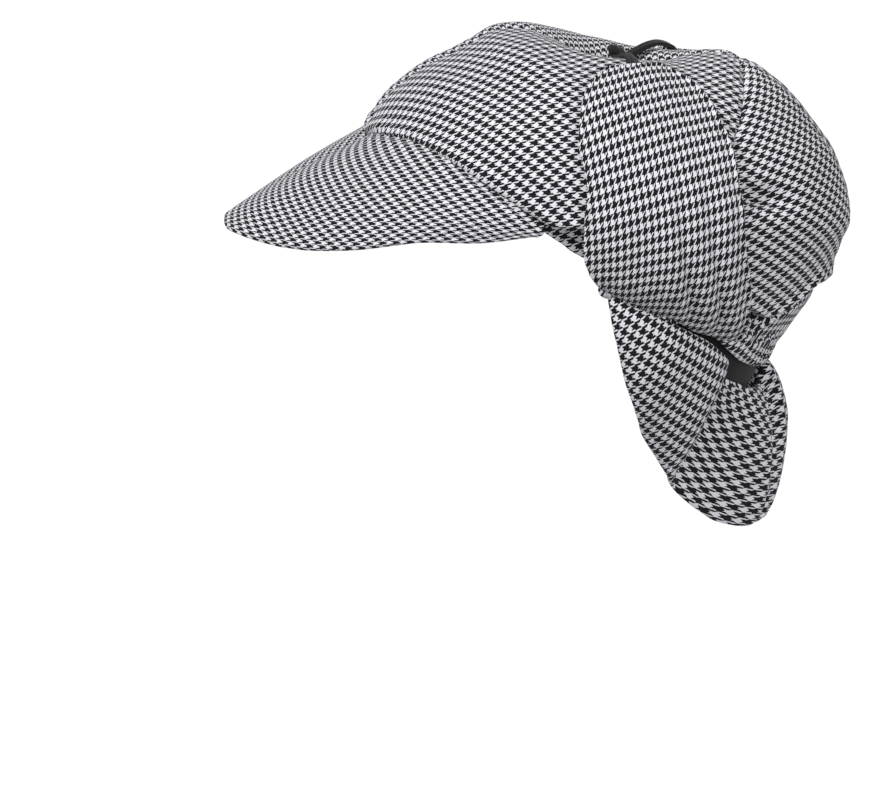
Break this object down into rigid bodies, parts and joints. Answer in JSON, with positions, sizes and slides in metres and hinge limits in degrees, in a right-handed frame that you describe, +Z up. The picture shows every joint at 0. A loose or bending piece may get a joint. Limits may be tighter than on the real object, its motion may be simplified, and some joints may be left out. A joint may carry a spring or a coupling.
{
  "type": "deerstalker hat",
  "caption": "Soft cloth hat with a front and a rear peak, and two ear flaps tied over the crown with ribbons.",
  "frame": {"origin": "middle of the opening for the head, in the plane of the band's lowest side, where the head enters", "axes": "+Z up as the hat is worn, -X towards the front peak, +Y towards the wearer's right; the opening's plane is tilted 26 degrees about Y, front up"},
  "size_m": [0.2896, 0.1944, 0.2384],
  "materials": {
    "houndstooth_cloth": "black and white houndstooth woollen cloth, soft and matt",
    "black_ribbon": "matt black ribbon with a fine rib",
    "black_sweatband": "black twill tape"
  },
  "bodies": {
    "root": {"crown_front_left": "houndstooth_cloth", "crown_front_right": "houndstooth_cloth", "crown_rear_left": "houndstooth_cloth", "crown_rear_right": "houndstooth_cloth", "headband": "houndstooth_cloth", "sweatband": "black_sweatband", "front_peak": "houndstooth_cloth", "rear_peak": "houndstooth_cloth", "ear_flap_left": "houndstooth_cloth", "ear_flap_right": "houndstooth_cloth", "ribbon_left": "black_ribbon", "ribbon_right": "black_ribbon", "ribbon_knot": "black_ribbon"}
  },
  "joints": []
}
